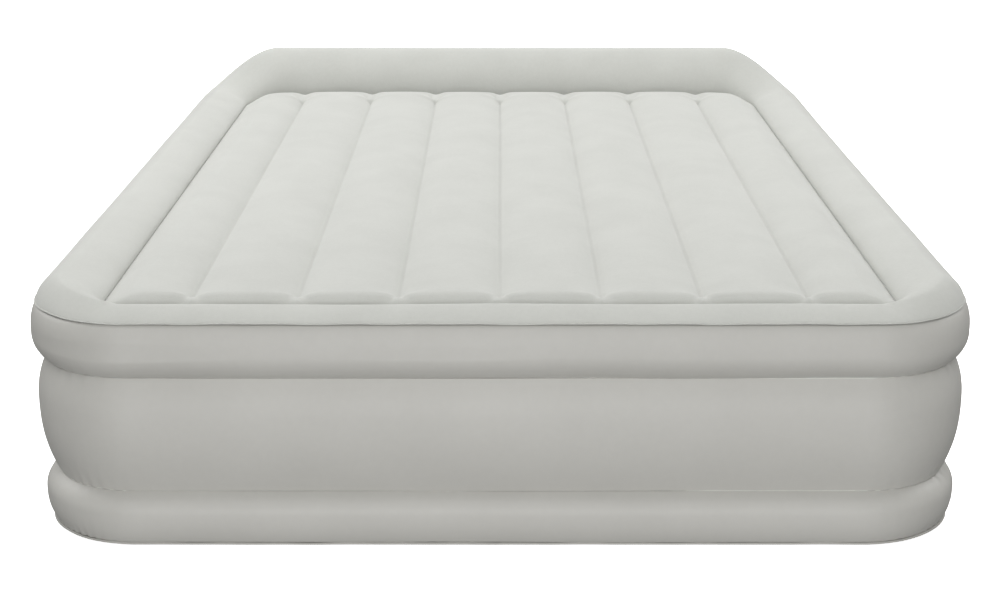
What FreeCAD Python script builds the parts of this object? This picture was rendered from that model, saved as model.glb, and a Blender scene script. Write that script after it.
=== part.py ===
import FreeCAD, Part
import math
import os

import Sketcher
from FreeCAD import Placement, Rotation, Vector

# A raised double-height air mattress with a built-in head bolster and a built-in mains pump.
#
# Frame: millimetres, +Z up, z = 0 on the floor, x = y = 0 at the middle of the plan.
# The foot end is at -Y and the head end, with the pump in its wall, at +Y.
# Insets are measured inwards from the outermost plan outline, heights from the floor.

DIMENSIONS = {
    # plan outline and film
    "overall_width": 1520, "overall_length": 2030, "plan_corner": 180, "film": 2,
    # the three bulging side bands: base, waist and upper, with a crease between each two
    "floor_seam_inset": 21, "floor_seam_height": 8,
    "base_crest_inset": 6, "base_crest_height": 54,
    "lower_crease_inset": 30, "lower_crease_height": 91,
    "waist_crest_inset": 5, "waist_crest_height": 198,
    "upper_crease_inset": 22, "upper_crease_height": 283,
    "upper_crest_height": 334,
    "top_seam_inset": 13, "top_seam_height": 375,
    # flocked border and head bolster
    "border_height": 414, "border_round": 36, "border_chamfer": 6,
    "bolster_height": 500, "bolster_round": 60, "bolster_front_corner": 40,
    # sleeping deck: eight lengthwise channels between seven valleys
    "deck_half_width": 626, "deck_foot_setback": 59, "deck_head_setback": 154,
    "deck_foot_corner": 45, "deck_head_corner": 65, "deck_skirt": 10,
    "deck_seam_height": 391, "channel_rise": 24, "channel_end_run": 55,
    "first_valley": 159, "second_valley": 317, "third_valley": 484,
    # beams: upright films that hold the sheets together
    "beam_foot_gap": 30, "beam_head_gap": 110,
    "lower_beam_pitch": 240, "lower_beam_foot_gap": 130, "lower_beam_head_gap": 215,
    "beam_vent_radius": 22, "low_beam_vent_radius": 16, "diaphragm_vent_radius": 28,
    # pump: place, collar, plate and tub
    "pump_offset": -430, "pump_height": 190, "panel_half_width": 130,
    "collar_half_width": 102, "collar_half_height": 77, "collar_corner": 24,
    "collar_wall": 8, "collar_setback": 4, "collar_depth": 26, "ledge_width": 8,
    "plate_setback": 10.5, "plate_thickness": 4, "plate_gap": 0.3,
    "flange_thickness": 2.5, "gasket_thickness": 1.5,
    "tub_depth": 114, "tub_wall": 2.5, "tub_corner": 10,
    "screw_radius": 1.5, "screw_length": 14, "screw_head_radius": 2.8, "screw_head": 1.4,
    "screw_clearance": 0.1, "screw_inset": 7.7,
    # cord compartment and its door
    "bay_offset": -45, "bay_half_width": 35, "bay_half_height": 46, "bay_depth": 42,
    "bay_wall": 2, "door_gap": 0.5, "door_edge_gap": 0.7, "door_pin_radius": 1,
    "door_pin_overlap": 4, "running_gap": 0.05, "lip_width": 24, "lip_height": 3,
    "lip_proud": 3, "gland_radius": 6, "gland_bore_radius": 3.2, "gland_flange": 2,
    # flow dial, diverter and rocker switch
    "axis_offset": 42, "axis_lift": 16, "dial_radius": 23, "dial_gap": 0.5,
    "dial_base": 4, "dial_grip": 5.5, "dial_grip_half": 4.5, "spindle_radius": 4,
    "drum_radius": 22, "drum_wall": 2, "drum_length": 16, "drum_gap": 0.4,
    "switch_drop": -38, "switch_half_width": 14, "switch_half_height": 9,
    "switch_bezel": 1, "switch_wall": 1.5, "switch_depth": 20,
    "rocker_half_width": 11.5, "rocker_half_height": 6.4, "rocker_proud": 3,
    "rocker_depth": 6, "rocker_tilt": 8, "rocker_pivot_depth": 2, "rocker_pin_radius": 1.2,
    # fan and motor, on the dial's axis
    "fan_setback": 30, "fan_radius": 40, "fan_wall": 2.5, "fan_depth": 24, "eye_radius": 15,
    "impeller_radius": 34, "impeller_web": 1.6, "vane_height": 12, "vane_thickness": 1.4,
    "shaft_radius": 2, "bush_radius": 6, "bush_length": 7, "bush_gap": 0.03, "nut_radius": 4,
    "nut_length": 3, "field_radius": 24, "field_length": 22, "field_gap": 9,
    "rotor_radius": 13, "rotor_air_gap": 0.5, "coil_length": 4.5, "coil_inner": 15,
    "coil_outer": 21, "commutator_radius": 8, "commutator_length": 9, "brush_width": 4,
    "brush_length": 9, "brush_gap": 0.1, "bracket_thickness": 2.5, "tie_radius": 1.5,
    "tie_offset": 22.2,
    # outlet check valve in the tub's end wall
    "valve_offset": -40, "valve_hole_radius": 13, "poppet_radius": 16, "poppet_thickness": 2,
    "poppet_gap": 0.2, "stem_radius": 2, "guide_thickness": 2, "guide_window_radius": 3.6,
    "guide_window_offset": 8, "spring_length": 12, "spring_radius": 4, "spring_wire": 0.5,
    "clip_radius": 5, "clip_thickness": 1.5,
}
SHEET_NAME = "Sizes"
BEAM_VENTS = 9
LOW_BEAMS = 5
DIAPHRAGM_ROWS = 6
SLOT_COUNT = 11
VANE_COUNT = 9
ROTOR_SLOTS = 10
MAX_FILES = 60

doc = FreeCAD.newDocument("AirMattress")
parts = {}


class Size:
    """A length that carries both its number and the sheet expression that drives it."""

    def __init__(self, number, text):
        self.number, self.text = float(number), text

    def __add__(self, other):
        other = as_size(other)
        return Size(self.number + other.number, f"({self.text} + {other.text})")

    def __sub__(self, other):
        other = as_size(other)
        return Size(self.number - other.number, f"({self.text} - {other.text})")

    def __mul__(self, other):
        other = as_size(other)
        return Size(self.number * other.number, f"({self.text} * {other.text})")

    def __truediv__(self, other):
        other = as_size(other)
        return Size(self.number / other.number, f"({self.text} / {other.text})")

    def __neg__(self):
        return Size(-self.number, f"(0 - {self.text})")


def as_size(value):
    return value if isinstance(value, Size) else Size(value, f"{float(value):.6f}")


def make_sheet():
    """Put every driving dimension in a cell of its own and return them by name."""
    sheet = doc.addObject("Spreadsheet::Sheet", SHEET_NAME)
    sizes = {}
    for row, (name, value) in enumerate(DIMENSIONS.items(), start=1):
        sheet.set(f"A{row}", name)
        sheet.set(f"B{row}", str(value))
        sheet.setAlias(f"B{row}", name)
        sizes[name] = Size(value, f"{SHEET_NAME}.{name}")
    doc.recompute()
    return sizes


dim = make_sheet()
ZERO = as_size(0)
half_width = dim["overall_width"] / 2
half_length = dim["overall_length"] / 2
film = dim["film"]
deck_foot = dim["deck_foot_setback"] - half_length
deck_head = half_length - dim["deck_head_setback"]
pump_x = dim["pump_offset"]
pump_z = dim["pump_height"]
axis_x = pump_x + dim["axis_offset"]
axis_z = pump_z + dim["axis_lift"]
plate_front = half_length - dim["plate_setback"]
plate_back = plate_front - dim["plate_thickness"]
flange_back = plate_back - dim["flange_thickness"]
ledge_front = flange_back - dim["gasket_thickness"]
tub_end = plate_back - dim["tub_depth"]
fan_front = plate_back - dim["fan_setback"]
fan_back = fan_front - dim["fan_depth"]
field_front = fan_back - dim["fan_wall"] - dim["field_gap"]
field_back = field_front - dim["field_length"]
commutator_front = field_back - dim["coil_length"] - 1
bracket_front = commutator_front - dim["commutator_length"] - 3
valve_x = pump_x + dim["valve_offset"]


# ---------------------------------------------------------------- sketching

class Outline:
    """A sketch on one origin plane of a body. Every drawn shape is fully constrained."""

    # pads grow along +Z, +X and -Y, the normals of the three origin planes
    PLANES = {"Z": ("XY_Plane", 1), "X": ("YZ_Plane", 1), "Y": ("XZ_Plane", -1)}

    def __init__(self, body, axis, level=ZERO):
        role, side = self.PLANES[axis]
        plane = next(f for f in body.Origin.OriginFeatures if f.Role == role)
        self.sketch = body.newObject("Sketcher::SketchObject", f"{body.Name}_outline")
        self.sketch.AttachmentSupport = [(plane, "")]
        self.sketch.MapMode = "FlatFace"
        offset = level * side
        self.sketch.AttachmentOffset = Placement(Vector(0, 0, offset.number), Rotation())
        self.sketch.setExpression("AttachmentOffset.Base.z", offset.text)

    def add(self, geometry):
        return self.sketch.addGeometry(geometry, False)

    def tie(self, kind, *where):
        self.sketch.addConstraint(Sketcher.Constraint(kind, *where))

    def measure(self, kind, *where, size):
        index = self.sketch.addConstraint(Sketcher.Constraint(kind, *where, size.number))
        self.sketch.setExpression(f"Constraints[{index}]", size.text)

    def fix(self, geometry, point, x=None, y=None):
        """Place a point of a shape by its distances from the sketch's origin."""
        if x is not None:
            self.measure("DistanceX", -1, 1, geometry, point, size=as_size(x))
        if y is not None:
            self.measure("DistanceY", -1, 1, geometry, point, size=as_size(y))

    def circle(self, x, y, radius):
        x, y = as_size(x), as_size(y)
        middle = Vector(x.number, y.number, 0)
        ring = self.add(Part.Circle(middle, Vector(0, 0, 1), radius.number))
        self.fix(ring, 3, x, y)
        self.measure("Radius", ring, size=radius)

    def polygon(self, corners):
        """Straight edges through the given corners, each placed by its coordinates."""
        spots = [(as_size(x), as_size(y)) for x, y in corners]
        points = [Vector(x.number, y.number, 0) for x, y in spots]
        edges = [self.add(Part.LineSegment(a, b))
                 for a, b in zip(points, points[1:] + points[:1])]
        for edge, following, (x, y) in zip(edges, edges[1:] + edges[:1], spots):
            self.tie("Coincident", edge, 2, following, 1)
            self.fix(edge, 1, x, y)

    def box(self, x0, y0, x1, y1):
        self.polygon([(x0, y0), (x1, y0), (x1, y1), (x0, y1)])

    def round_box(self, x0, y0, x1, y1, low_corner, high_corner=None):
        """A rectangle with tangent corner arcs; the two at high y may have another radius."""
        x0, y0, x1, y1 = (as_size(v) for v in (x0, y0, x1, y1))
        high_corner = high_corner or low_corner
        a, b = low_corner.number, high_corner.number
        left, low, right, high = x0.number, y0.number, x1.number, y1.number

        def line(ax, ay, bx, by):
            return self.add(Part.LineSegment(Vector(ax, ay, 0), Vector(bx, by, 0)))

        def arc(x, y, radius, quarter):
            whole = Part.Circle(Vector(x, y, 0), Vector(0, 0, 1), radius)
            start = quarter * math.pi / 2
            return self.add(Part.ArcOfCircle(whole, start, start + math.pi / 2))

        edges = [line(left + a, low, right - a, low), arc(right - a, low + a, a, 3),
                 line(right, low + a, right, high - b), arc(right - b, high - b, b, 0),
                 line(right - b, high, left + b, high), arc(left + b, high - b, b, 1),
                 line(left, high - b, left, low + a), arc(left + a, low + a, a, 2)]
        for edge, following in zip(edges, edges[1:] + edges[:1]):
            self.tie("Tangent", edge, 2, following, 1)
        for edge in (edges[0], edges[4]):
            self.tie("Horizontal", edge)
        for edge in (edges[2], edges[6]):
            self.tie("Vertical", edge)
        self.tie("Equal", edges[1], edges[7])
        self.tie("Equal", edges[3], edges[5])
        self.measure("Radius", edges[1], size=low_corner)
        self.measure("Radius", edges[3], size=high_corner)
        self.fix(edges[0], 1, y=y0)
        self.fix(edges[2], 1, x=x1)
        self.fix(edges[4], 1, y=y1)
        self.fix(edges[6], 1, x=x0)

    def arc(self, centre, radius, start, finish):
        """An arc, anticlockwise between two angles in degrees, with its centre placed."""
        x, y = as_size(centre[0]), as_size(centre[1])
        whole = Part.Circle(Vector(x.number, y.number, 0), Vector(0, 0, 1), radius.number)
        index = self.add(Part.ArcOfCircle(whole, math.radians(start), math.radians(finish)))
        self.fix(index, 3, x, y)
        self.measure("Radius", index, size=radius)
        return index

    def crescent(self, low, crest, high, thickness):
        """A bulging strip of film: two arcs that meet upright at the crest.

        Each of low, crest and high is an (inset, height) pair. The arc through an end and
        the crest has radius (d^2 + r^2) / 2d for an inset difference d and a rise r."""
        crest_y = crest[0] - half_length

        def bow(end):
            sink, rise = end[0] - crest[0], end[1] - crest[1]
            return (sink * sink + rise * rise) / (sink * 2)

        lower, upper = bow(low), bow(high)
        reach_low = math.degrees(math.asin((crest[1] - low[1]).number / lower.number))
        reach_high = math.degrees(math.asin((high[1] - crest[1]).number / upper.number))
        outer_low = self.arc((crest_y + lower, crest[1]), lower, 180, 180 + reach_low)
        outer_high = self.arc((crest_y + upper, crest[1]), upper, 180 - reach_high, 180)
        inner_low = self.arc((crest_y + lower, crest[1]), lower - thickness,
                             180, 180 + reach_low)
        inner_high = self.arc((crest_y + upper, crest[1]), upper - thickness,
                              180 - reach_high, 180)
        for index, end in ((outer_low, 1), (outer_high, 2), (inner_low, 1), (inner_high, 2)):
            self.fix(index, end, y=crest[1])
        for outer, inner, end, height in ((outer_low, inner_low, 2, low[1]),
                                          (outer_high, inner_high, 1, high[1])):
            ends = [self.sketch.getPoint(outer, end), self.sketch.getPoint(inner, end)]
            rim = self.add(Part.LineSegment(*ends))
            self.tie("Coincident", rim, 1, outer, end)
            self.tie("Coincident", rim, 2, inner, end)
            self.tie("Horizontal", rim)
            self.fix(rim, 1, y=height)


# ---------------------------------------------------------------- solid features

def new_body(name):
    body = doc.addObject("PartDesign::Body", name)
    body.Label = name
    return body


def extrude(kind, body, axis, start, length, draw):
    outline = Outline(body, axis, start)
    draw(outline)
    feature = body.newObject(kind, f"{body.Name}_{kind[12:].lower()}")
    feature.Profile = outline.sketch
    feature.Length = length.number
    feature.setExpression("Length", length.text)
    if kind == "PartDesign::Pocket":
        feature.Reversed = True
    return feature


def add(body, axis, start, length, draw):
    """Pad a drawn section from start: upwards on Z, to +X on X and to -Y on Y."""
    return extrude("PartDesign::Pad", body, axis, as_size(start), as_size(length), draw)


def cut(body, axis, start, length, draw):
    """Remove a drawn section, growing the same way as a pad, and see that it cut."""
    doc.recompute()
    before = body.Shape.Volume
    feature = extrude("PartDesign::Pocket", body, axis, as_size(start), as_size(length), draw)
    doc.recompute()
    if body.Shape.Volume > before * (1 - 1e-7):
        raise RuntimeError(f"{body.Label}: a cut removed nothing")
    return feature


def prism(name, axis, start, length, draw):
    body = new_body(name)
    add(body, axis, start, length, draw)
    return body


def dress(kind, body, size_name, size, chosen):
    """Fillet or chamfer the edges that the test picks."""
    doc.recompute()
    tip = body.Tip
    names = [f"Edge{n}" for n, edge in enumerate(tip.Shape.Edges, start=1) if chosen(edge)]
    if not names:
        raise RuntimeError(f"{body.Label}: no edges to dress")
    feature = body.newObject(kind, f"{body.Name}_{kind[12:].lower()}")
    feature.Base = (tip, names)
    setattr(feature, size_name, size.number)
    feature.setExpression(size_name, size.text)
    doc.recompute()
    return feature


def at_height(height, inside=None):
    """Edges that lie level at a height, all or only those inside a plan box (x, y0, y1)."""
    def chosen(edge):
        box = edge.BoundBox
        level = abs(box.ZMin - height.number) < 0.01 and abs(box.ZMax - height.number) < 0.01
        if not level or inside is None:
            return level
        x, low, high = (v.number + 0.01 for v in inside)
        return abs(box.Center.x) < x and low - 0.02 < box.Center.y < high
    return chosen


def keep(name, item):
    """Record a finished sub-part under its node name."""
    item.Label = name
    parts[name] = item
    return item


def hollow(name, form):
    """A skin of film: the outer form less the same form drawn one film thickness inside."""
    outer, inner = form(f"{name}_outer", ZERO), form(f"{name}_inner", film)
    skin = doc.addObject("Part::Cut", name)
    skin.Base, skin.Tool = outer, inner
    keep(name, skin)


# ---------------------------------------------------------------- envelope

def plan(inset):
    """The mattress outline, drawn in from the outermost one."""
    x, y, corner = half_width - inset, half_length - inset, dim["plan_corner"] - inset
    return lambda o: o.round_box(-x, -y, x, y, corner)


def side_band(name, low, crest, high):
    """A ring of film: one bulging section carried around the plan outline."""
    body = new_body(name)
    spine = Outline(body, "Z")
    x, y, corner = half_width, half_length, dim["plan_corner"]
    spine.round_box(-x, -y, x, y, corner)
    section = Outline(body, "X")
    section.crescent(low, crest, high, film)
    ring = body.newObject("PartDesign::AdditivePipe", f"{name}_sweep")
    ring.Profile = (section.sketch, [""])
    ring.Spine = (spine.sketch, [f"Edge{n}" for n in range(1, 9)])
    ring.Mode, ring.Transition = "Standard", "Transformed"
    return keep(name, body)


def band_ends():
    """The (inset, height) pairs of the three bands; creases leave room for a diaphragm."""
    film_half = film / 2
    return {
        "base": ((dim["floor_seam_inset"], dim["floor_seam_height"]),
                 (dim["base_crest_inset"], dim["base_crest_height"]),
                 (dim["lower_crease_inset"], dim["lower_crease_height"] - film_half)),
        "waist": ((dim["lower_crease_inset"], dim["lower_crease_height"] + film_half),
                  (dim["waist_crest_inset"], dim["waist_crest_height"]),
                  (dim["upper_crease_inset"], dim["upper_crease_height"] - film_half)),
        "upper": ((dim["upper_crease_inset"], dim["upper_crease_height"] + film_half),
                  (ZERO, dim["upper_crest_height"]),
                  (dim["top_seam_inset"], dim["top_seam_height"])),
    }


def make_side_bands():
    ends = band_ends()
    side_band("upper_side_band", *ends["upper"])
    side_band("base_side_band", *ends["base"])
    waist = side_band("waist_side_band", *ends["waist"])
    x, gap = dim["pump_offset"], dim["panel_half_width"]
    low, _, high = ends["waist"]
    cut(waist, "Y", half_length, dim["collar_depth"] * 2,
        lambda o: o.box(x - gap, low[1] - 1, x + gap, high[1] + 1))


def make_bottom_sheet():
    """A shallow tray: flat on the floor, with its edge turned up to the base band."""
    inset, height = dim["floor_seam_inset"], dim["floor_seam_height"]

    def form(name, skin):
        body = prism(name, "Z", skin, height - skin, plan(inset + skin))
        dress("PartDesign::Fillet", body, "Radius", height - film / 2 - skin, at_height(skin))
        return body

    hollow("bottom_sheet", form)


def make_border():
    """The flocked margin of the top: both sides and the foot rail, around the deck."""
    base, top = dim["top_seam_height"], dim["border_height"]
    inset, far = dim["top_seam_inset"], half_length

    def form(name, skin):
        body = prism(name, "Z", base, top - skin - base, plan(inset + skin))
        dress("PartDesign::Fillet", body, "Radius", dim["border_round"] - skin / 2,
              at_height(top - skin))
        x, y = dim["deck_half_width"] + skin, deck_foot - skin
        cut(body, "Z", base, top - base,
            lambda o: o.round_box(-x, y, x, far, dim["deck_foot_corner"] + skin))
        dress("PartDesign::Chamfer", body, "Size", dim["border_chamfer"],
              at_height(top - skin, (x, y, far - dim["plan_corner"])))
        end = deck_head + skin
        cut(body, "Z", base - 1, top - base + 2,
            lambda o: o.box(-half_width, end, half_width, far))
        return body

    hollow("flocked_border", form)


def make_bolster():
    """The raised built-in pillow across the head end."""
    base, top = dim["top_seam_height"], dim["bolster_height"]

    def form(name, skin):
        body = prism(name, "Z", base, top - skin - base, plan(dim["top_seam_inset"] + skin))
        front = deck_head + skin
        cut(body, "Z", base, top - base,
            lambda o: o.box(-half_width, -half_length, half_width, front))

        def upright(edge):
            box = edge.BoundBox
            return box.ZLength > 50 and abs(box.YMin - front.number) < 0.01 and box.YLength < 0.01

        dress("PartDesign::Fillet", body, "Radius", dim["bolster_front_corner"] - skin, upright)
        dress("PartDesign::Fillet", body, "Radius", dim["bolster_round"] - skin,
              at_height(top - skin))
        return body

    hollow("head_bolster", form)


def valley_lines():
    """The x of the deck's two side seams and of the seven valleys between them."""
    right = [dim["first_valley"], dim["second_valley"], dim["third_valley"]]
    return [-v for v in reversed(right)] + [ZERO] + right


def make_deck():
    """The sleeping deck: eight crowned channels with rounded-off ends."""
    lines = [-dim["deck_half_width"]] + valley_lines() + [dim["deck_half_width"]]
    rise, run = dim["channel_rise"], dim["channel_end_run"]
    length = deck_head - deck_foot

    def form(name, drop):
        seam = dim["deck_seam_height"] - drop
        floor = dim["deck_seam_height"] - dim["deck_skirt"]

        def channels(outline):
            """Arcs of radius (w^2 + r^2) / 2r from valley to valley, for half width w."""
            arcs = []
            for left, right in zip(lines, lines[1:]):
                half = (right - left) / 2
                radius = (half * half + rise * rise) / (rise * 2)
                reach = math.degrees(math.asin(half.number / radius.number))
                centre = ((left + right) / 2, seam + rise - radius)
                arcs.append(outline.arc(centre, radius, 90 - reach, 90 + reach))
                outline.fix(arcs[-1], 2, x=left)
                outline.fix(arcs[-1], 1, x=right)
            first = outline.sketch.getPoint(arcs[0], 2)
            last = outline.sketch.getPoint(arcs[-1], 1)
            low = Vector(0, floor.number - first.y, 0)
            walls = [outline.add(Part.LineSegment(*pair)) for pair in
                     ((first, first + low), (first + low, last + low), (last + low, last))]
            outline.tie("Coincident", walls[0], 1, arcs[0], 2)
            outline.tie("Coincident", walls[0], 2, walls[1], 1)
            outline.tie("Coincident", walls[1], 2, walls[2], 1)
            outline.tie("Coincident", walls[2], 2, arcs[-1], 1)
            outline.tie("Vertical", walls[0])
            outline.tie("Horizontal", walls[1])
            outline.tie("Vertical", walls[2])
            outline.fix(walls[1], 1, y=floor)

        body = prism(name, "Y", deck_head, length, channels)
        crown = seam + rise + 1

        def ends(outline):
            """The wedge above a straight run from the end seam up to the crown, both ends."""
            for end, way in ((deck_foot, 1), (deck_head, -1)):
                outline.polygon([(end - way, seam), (end - way, crown),
                                 (end + run * way, crown), (end, seam)][::way])

        cut(body, "X", -half_width, dim["overall_width"], ends)
        x = dim["deck_half_width"] - drop
        cut(body, "Z", floor - 1, crown - floor + 2, lambda o: (
            o.box(-half_width, -half_length, half_width, half_length),
            o.round_box(-x, deck_foot + drop, x, deck_head - drop,
                        dim["deck_foot_corner"] - drop, dim["deck_head_corner"] - drop)))
        return body

    hollow("sleep_deck", form)


def diaphragm(name, inset, height, columns):
    """A level sheet across the chamber, with vents between the beams."""
    pitch = dim["overall_length"] / (DIAPHRAGM_ROWS + 2)

    def draw(outline):
        plan(inset)(outline)
        for row in range(DIAPHRAGM_ROWS):
            y = pitch * (row - (DIAPHRAGM_ROWS - 1) / 2)
            for x in columns:
                outline.circle(x, y, dim["diaphragm_vent_radius"])

    keep(name, prism(name, "Z", height - film / 2, film, draw))


def beam(name, x, foot, head, low, high, vent):
    """An upright film along the mattress, with a row of vents."""
    pitch = (head - foot) / BEAM_VENTS

    def draw(outline):
        outline.box(foot, low, head, high)
        for step in range(BEAM_VENTS):
            outline.circle(foot + pitch * (step + 0.5), (low + high) / 2, vent)

    keep(name, prism(name, "X", x - film / 2, film, draw))


def make_inner_sheets():
    """Two diaphragms at the creases, and the three layers of beams between the sheets."""
    valleys = valley_lines()
    edges = [-dim["deck_half_width"]] + valleys + [dim["deck_half_width"]]
    channel_middles = [(a + b) / 2 for a, b in zip(edges, edges[1:])]
    low_lines = [dim["lower_beam_pitch"] * (n - (LOW_BEAMS - 1) / 2) for n in range(LOW_BEAMS)]
    low_middles = [line + dim["lower_beam_pitch"] / 2 for line in low_lines[:-1]]
    diaphragm("upper_diaphragm", dim["upper_crease_inset"], dim["upper_crease_height"],
              channel_middles)
    diaphragm("lower_diaphragm", dim["lower_crease_inset"], dim["lower_crease_height"],
              low_middles)
    upper_top = dim["upper_crease_height"] + film / 2
    upper_under = dim["upper_crease_height"] - film / 2
    lower_top = dim["lower_crease_height"] + film / 2
    lower_under = dim["lower_crease_height"] - film / 2
    for number, x in enumerate(valleys, start=1):
        beam(f"sleep_beam_{number}", x, deck_foot + dim["beam_foot_gap"],
             deck_head - dim["beam_head_gap"], upper_top, dim["deck_seam_height"] - film,
             dim["beam_vent_radius"])
    foot = dim["lower_beam_foot_gap"] - half_length
    head = half_length - dim["lower_beam_head_gap"]
    for number, x in enumerate(low_lines, start=1):
        beam(f"waist_beam_{number}", x, foot, head, lower_top, upper_under,
             dim["beam_vent_radius"])
        beam(f"base_beam_{number}", x, foot, head, film, lower_under,
             dim["low_beam_vent_radius"])


# ---------------------------------------------------------------- pump casing

def pump_box(half_x, half_z, corner):
    """A rounded rectangle about the middle of the pump's plate."""
    return lambda o: o.round_box(pump_x - half_x, pump_z - half_z,
                                 pump_x + half_x, pump_z + half_z, corner)


def frame_of(outer, inner):
    """Two outlines, one inside the other."""
    return lambda o: (outer(o), inner(o))


def screw_spots():
    """The four screw centres at the corners of the pump's plate."""
    across = dim["collar_half_width"] - dim["collar_wall"] - dim["screw_inset"]
    up = dim["collar_half_height"] - dim["collar_wall"] - dim["screw_inset"]
    return [(pump_x + across * i, pump_z + up * j) for i in (-1, 1) for j in (-1, 1)]


def screw_holes(radius):
    return lambda o: [o.circle(x, z, radius) for x, z in screw_spots()]


def plate_outline(gap):
    """The outline that drops into the collar's mouth, with a gap all round."""
    wall = dim["collar_wall"] + gap
    return pump_box(dim["collar_half_width"] - wall, dim["collar_half_height"] - wall,
                    dim["collar_corner"] - wall)


def ledge_opening(gap):
    wall = dim["collar_wall"] + dim["ledge_width"] + gap
    return pump_box(dim["collar_half_width"] - wall, dim["collar_half_height"] - wall,
                    dim["tub_corner"])


def make_pump_panel():
    """The piece of waist wall that carries the pump, with a hole that the collar fills."""
    low, crest, high = band_ends()["waist"]
    body = new_body("pump_panel")
    add(body, "X", -(dim["pump_offset"] + dim["panel_half_width"]),
        dim["panel_half_width"] * 2, lambda o: o.crescent(low, crest, high, film))
    body.Placement = Placement(Vector(), Rotation(Vector(0, 0, 1), 180))
    x, z = pump_x, pump_z
    w, t, corner = dim["collar_half_width"], dim["collar_half_height"], dim["collar_corner"]
    # the body is drawn at the foot wall and turned half round, so its own +X is the row's -X
    cut(body, "Y", -half_length + dim["collar_depth"] * 2, dim["collar_depth"] * 3,
        lambda o: o.round_box(-x - w, z - t, -x + w, z + t, corner))
    keep("pump_panel", body)


def make_collar():
    """The moulded frame welded into the panel, with a ledge that the pump sits on."""
    front = half_length - dim["collar_setback"]
    outer = pump_box(dim["collar_half_width"], dim["collar_half_height"], dim["collar_corner"])
    body = prism("pump_collar", "Y", front, front - ledge_front,
                 frame_of(outer, plate_outline(ZERO)))
    add(body, "Y", ledge_front, dim["collar_depth"] - (front - ledge_front),
        frame_of(outer, ledge_opening(ZERO)))
    cut(body, "Y", ledge_front, dim["screw_length"], screw_holes(dim["screw_radius"]))
    keep("pump_collar", body)


def make_tub():
    """The pump's tub: flange, walls and an end wall with the outlet hole."""
    gap, wall = dim["plate_gap"], dim["tub_wall"]
    body = prism("pump_tub", "Y", plate_back, dim["flange_thickness"],
                 frame_of(plate_outline(gap), ledge_opening(gap + wall)))
    add(body, "Y", flange_back, dim["tub_depth"] - dim["flange_thickness"],
        frame_of(ledge_opening(gap), ledge_opening(gap + wall)))
    add(body, "Y", tub_end, wall, frame_of(
        ledge_opening(gap), lambda o: o.circle(valve_x, pump_z, dim["valve_hole_radius"])))
    cut(body, "Y", plate_back, dim["flange_thickness"],
        screw_holes(dim["screw_radius"] + dim["screw_clearance"]))
    keep("pump_tub", body)


def make_gasket():
    body = prism("tub_gasket", "Y", flange_back, dim["gasket_thickness"],
                 frame_of(plate_outline(dim["plate_gap"]), ledge_opening(ZERO)))
    cut(body, "Y", flange_back, dim["gasket_thickness"],
        screw_holes(dim["screw_radius"] + dim["screw_clearance"]))
    keep("tub_gasket", body)


def bay_edges():
    """Left, bottom, right and top of the cord bay's mouth."""
    x = pump_x + dim["bay_offset"]
    return (x - dim["bay_half_width"], pump_z - dim["bay_half_height"],
            x + dim["bay_half_width"], pump_z + dim["bay_half_height"])


def door_axis_height():
    """The door turns about its own lower edge, which is a half-round barrel."""
    return bay_edges()[1] + dim["door_edge_gap"] + dim["plate_thickness"] / 2


def make_plate():
    """The face plate, with the cord door's mouth, the dial's hole, the switch and slots."""
    body = prism("pump_face_plate", "Y", plate_front, dim["plate_thickness"],
                 plate_outline(dim["plate_gap"]))
    switch_z = pump_z + dim["switch_drop"]
    left, low, right, high = bay_edges()

    def openings(outline):
        outline.box(left, low, right, high)
        outline.circle(axis_x, axis_z, dim["spindle_radius"] + dim["running_gap"])
        outline.box(axis_x - dim["switch_half_width"], switch_z - dim["switch_half_height"],
                    axis_x + dim["switch_half_width"], switch_z + dim["switch_half_height"])
        slot_left, slot_pitch = axis_x + dim["dial_radius"] + 4, 8
        for number in range(SLOT_COUNT):
            z = pump_z + slot_pitch * (number - (SLOT_COUNT - 1) / 2)
            outline.box(slot_left, z - 1.5, slot_left + 10, z + 1.5)

    cut(body, "Y", plate_front, dim["plate_thickness"], openings)
    cut(body, "Y", plate_front, dim["plate_thickness"],
        screw_holes(dim["screw_radius"] + dim["screw_clearance"]))
    reach = dim["door_pin_overlap"]
    cut(body, "X", left - reach, right - left + reach * 2,
        lambda o: o.circle(plate_front - dim["plate_thickness"] / 2, door_axis_height(),
                           dim["door_pin_radius"]))
    keep("pump_face_plate", body)


def make_plate_screws():
    body = prism("plate_screws", "Y", plate_front + dim["screw_head"],
                 dim["screw_head"], screw_holes(dim["screw_head_radius"]))
    add(body, "Y", plate_front, dim["screw_length"], screw_holes(dim["screw_radius"]))
    keep("plate_screws", body)


def make_cord_bay():
    """The open-fronted bay that the mains cord is tucked into, its gland and its door."""
    left, low, right, high = bay_edges()
    wall, depth = dim["bay_wall"], dim["bay_depth"]
    gland_x, gland_z = (left + right) / 2, high - 14
    bay = prism("cord_compartment", "Y", plate_back, depth, lambda o: (
        o.box(left - wall, low - wall, right + wall, high + wall),
        o.box(left, low, right, high)))
    add(bay, "Y", plate_back - depth, wall, lambda o: (
        o.box(left - wall, low - wall, right + wall, high + wall),
        o.circle(gland_x, gland_z, dim["gland_radius"])))
    keep("cord_compartment", bay)
    floor = plate_back - depth
    flange = dim["gland_flange"]
    gland = prism("cord_gland", "Y", floor + flange, flange, lambda o: (
        o.circle(gland_x, gland_z, dim["gland_radius"] + flange),
        o.circle(gland_x, gland_z, dim["gland_bore_radius"])))
    add(gland, "Y", floor, wall + flange * 2, lambda o: (
        o.circle(gland_x, gland_z, dim["gland_radius"]),
        o.circle(gland_x, gland_z, dim["gland_bore_radius"])))
    keep("cord_gland", gland)


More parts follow.
